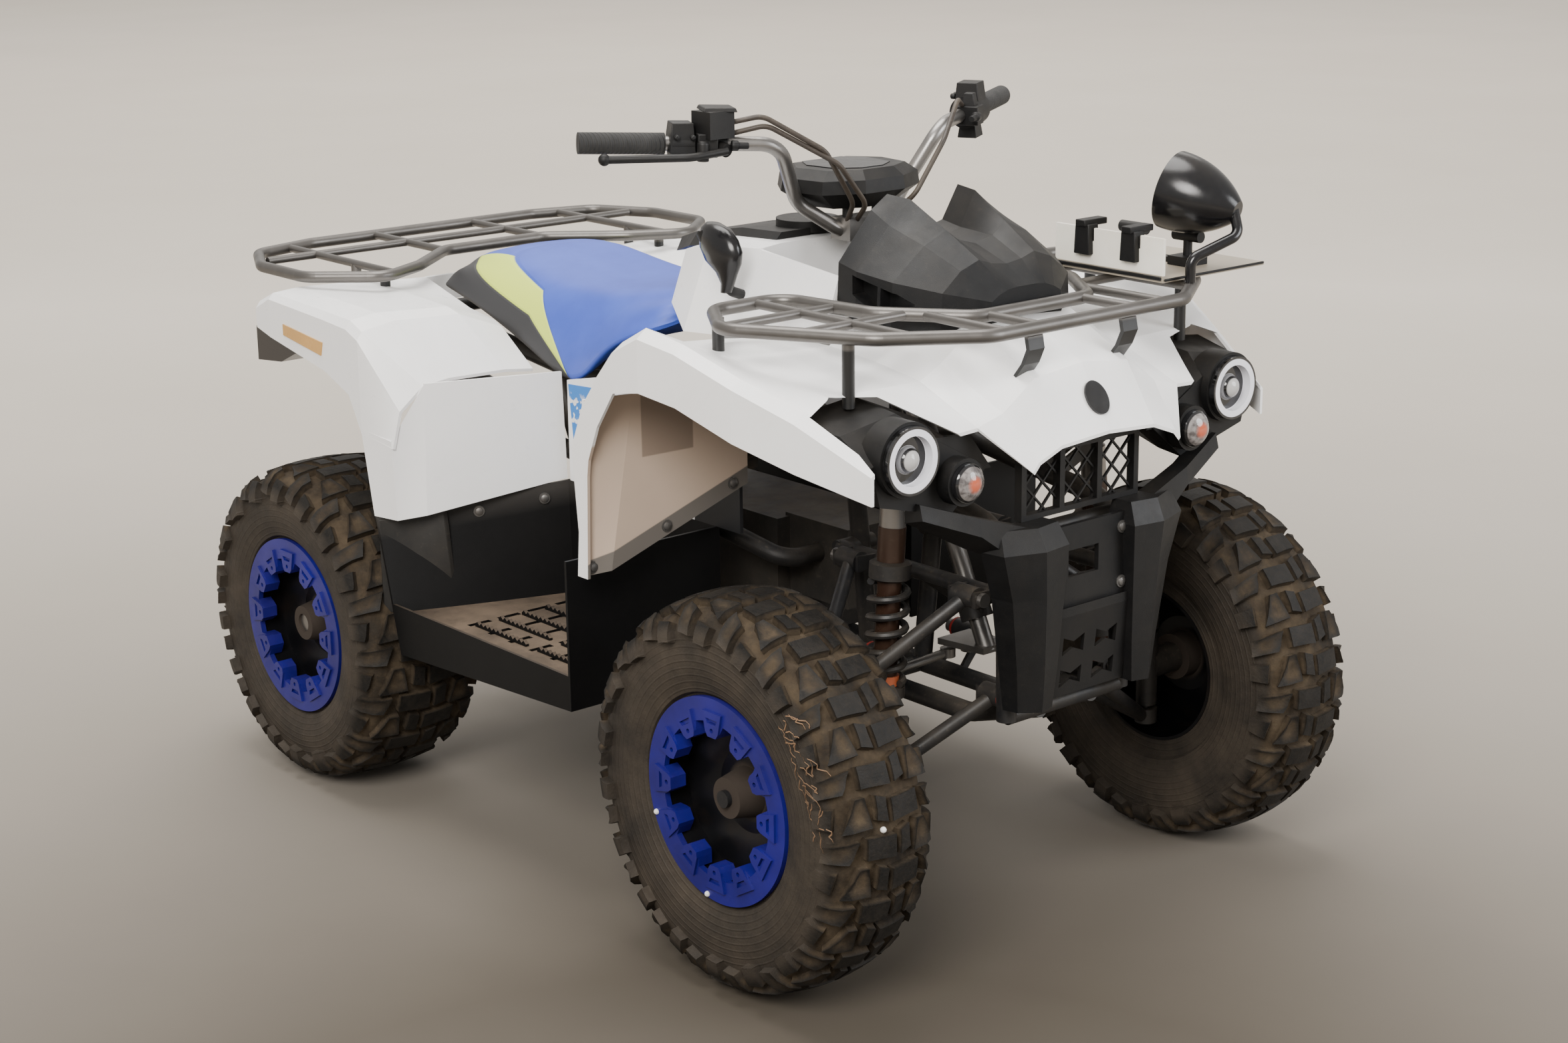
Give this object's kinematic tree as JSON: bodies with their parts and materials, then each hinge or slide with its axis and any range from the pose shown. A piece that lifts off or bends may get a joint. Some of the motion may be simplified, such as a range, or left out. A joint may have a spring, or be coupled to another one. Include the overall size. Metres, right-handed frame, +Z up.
{
  "type": "quad bike",
  "caption": "Utility quad bike with steel racks, moulded fenders, open footwells, steered front wheels and a solid rear axle.",
  "frame": {"origin": "on the floor, under the middle of the bounding box", "axes": "+X forward, +Y to the vehicle's left, +Z up"},
  "size_m": [1.83, 1.09, 1.2146],
  "materials": {
    "frame_black": "satin",
    "engine_alloy": "cast",
    "exhaust_black": "matt",
    "white_plastic": "satin",
    "black_plastic": "grained",
    "seat_cover": "grained vinyl",
    "lamp_lens": "clear",
    "tail_lens": "gloss",
    "rack_grey": "metallic grey",
    "shock_steel": "satin",
    "gloss_black": "gloss",
    "cream_paint": "satin",
    "bar_steel": "dusty",
    "grip_rubber": "matt",
    "tyre_rubber": "muddy",
    "rim_black": "satin",
    "ring_blue": "satin"
  },
  "bodies": {
    "chassis": {"frame": "frame_black", "engine": "engine_alloy", "exhaust": "exhaust_black", "front_body": "white_plastic", "rear_body": "white_plastic", "tank_cover": "white_plastic", "fuel_cap": "black_plastic", "seat": "seat_cover", "dash_cowl": "black_plastic", "side_panels": "white_plastic", "footwell_left": "black_plastic", "footwell_right": "black_plastic", "lamp_housings": "black_plastic", "headlights": "lamp_lens", "front_indicators": "lamp_lens", "tail_lamps": "tail_lens", "bumper": "black_plastic", "grille": "black_plastic", "front_rack": "rack_grey", "rear_rack": "rack_grey", "upper_arms": "frame_black", "lower_arms": "frame_black", "front_shocks": "shock_steel", "swingarm": "frame_black", "rear_shock": "shock_steel", "spotlight": "gloss_black", "accessory_plate": "cream_paint", "plate_clamps": "black_plastic", "gear_lever": "black_plastic", "tow_hitch": "frame_black", "tank_top": "black_plastic"},
    "steering": {"handlebar": "bar_steel", "grips": "grip_rubber", "instrument_pod": "black_plastic", "right_control": "black_plastic", "left_control": "black_plastic", "cables": "black_plastic"},
    "knuckle_left_body": {"knuckle_left": "frame_black"},
    "knuckle_right_body": {"knuckle_right": "frame_black"},
    "tie_rod_left_body": {"tie_rod_left": "bar_steel"},
    "tie_rod_right_body": {"tie_rod_right": "bar_steel"},
    "front_wheel_left": {"front_tyre_left": "tyre_rubber", "front_rim_left": "rim_black", "front_wheel_ring_left": "ring_blue"},
    "front_wheel_right": {"front_tyre_right": "tyre_rubber", "front_rim_right": "rim_black", "front_wheel_ring_right": "ring_blue"},
    "rear_wheels": {"rear_axle": "bar_steel", "rear_tyre_left": "tyre_rubber", "rear_tyre_right": "tyre_rubber", "rear_rim_left": "rim_black", "rear_rim_right": "rim_black", "rear_wheel_ring_left": "ring_blue", "rear_wheel_ring_right": "ring_blue"}
  },
  "joints": [
    {"name": "steering", "type": "hinge", "parent": "chassis", "child": "steering", "pos_m": [0.35, 0, 1.005], "axis": [-0.4226, 0, 0.9063], "range_deg": [-35, 35]},
    {"name": "rear_axle_spin", "type": "hinge", "parent": "chassis", "child": "rear_wheels", "pos_m": [-0.537, 0, 0.2794], "axis": [0, 1, 0], "continuous": true},
    {"name": "kingpin_left", "type": "hinge", "parent": "chassis", "child": "knuckle_left_body", "pos_m": [0.623, 0.372, 0.292], "axis": [0, 0, 1], "range_deg": [-32, 32]},
    {"name": "tie_rod_left_pivot", "type": "hinge", "parent": "knuckle_left_body", "child": "tie_rod_left_body", "pos_m": [0.528, 0.346, 0.351], "axis": [0, 0, 1], "range_deg": [-32, 32]},
    {"name": "front_wheel_left_spin", "type": "hinge", "parent": "knuckle_left_body", "child": "front_wheel_left", "pos_m": [0.623, 0.448, 0.292], "axis": [0, 1, 0], "continuous": true},
    {"name": "kingpin_right", "type": "hinge", "parent": "chassis", "child": "knuckle_right_body", "pos_m": [0.623, -0.372, 0.292], "axis": [0, 0, 1], "range_deg": [-32, 32]},
    {"name": "tie_rod_right_pivot", "type": "hinge", "parent": "knuckle_right_body", "child": "tie_rod_right_body", "pos_m": [0.528, -0.346, 0.351], "axis": [0, 0, 1], "range_deg": [-32, 32]},
    {"name": "front_wheel_right_spin", "type": "hinge", "parent": "knuckle_right_body", "child": "front_wheel_right", "pos_m": [0.623, -0.448, 0.292], "axis": [0, 1, 0], "continuous": true}
  ],
  "couplings": [
    {"joint": "kingpin_left", "follows": "steering", "ratio": 0.9},
    {"joint": "tie_rod_left_pivot", "follows": "steering", "ratio": -0.9},
    {"joint": "kingpin_right", "follows": "steering", "ratio": 0.9},
    {"joint": "tie_rod_right_pivot", "follows": "steering", "ratio": -0.9}
  ]
}
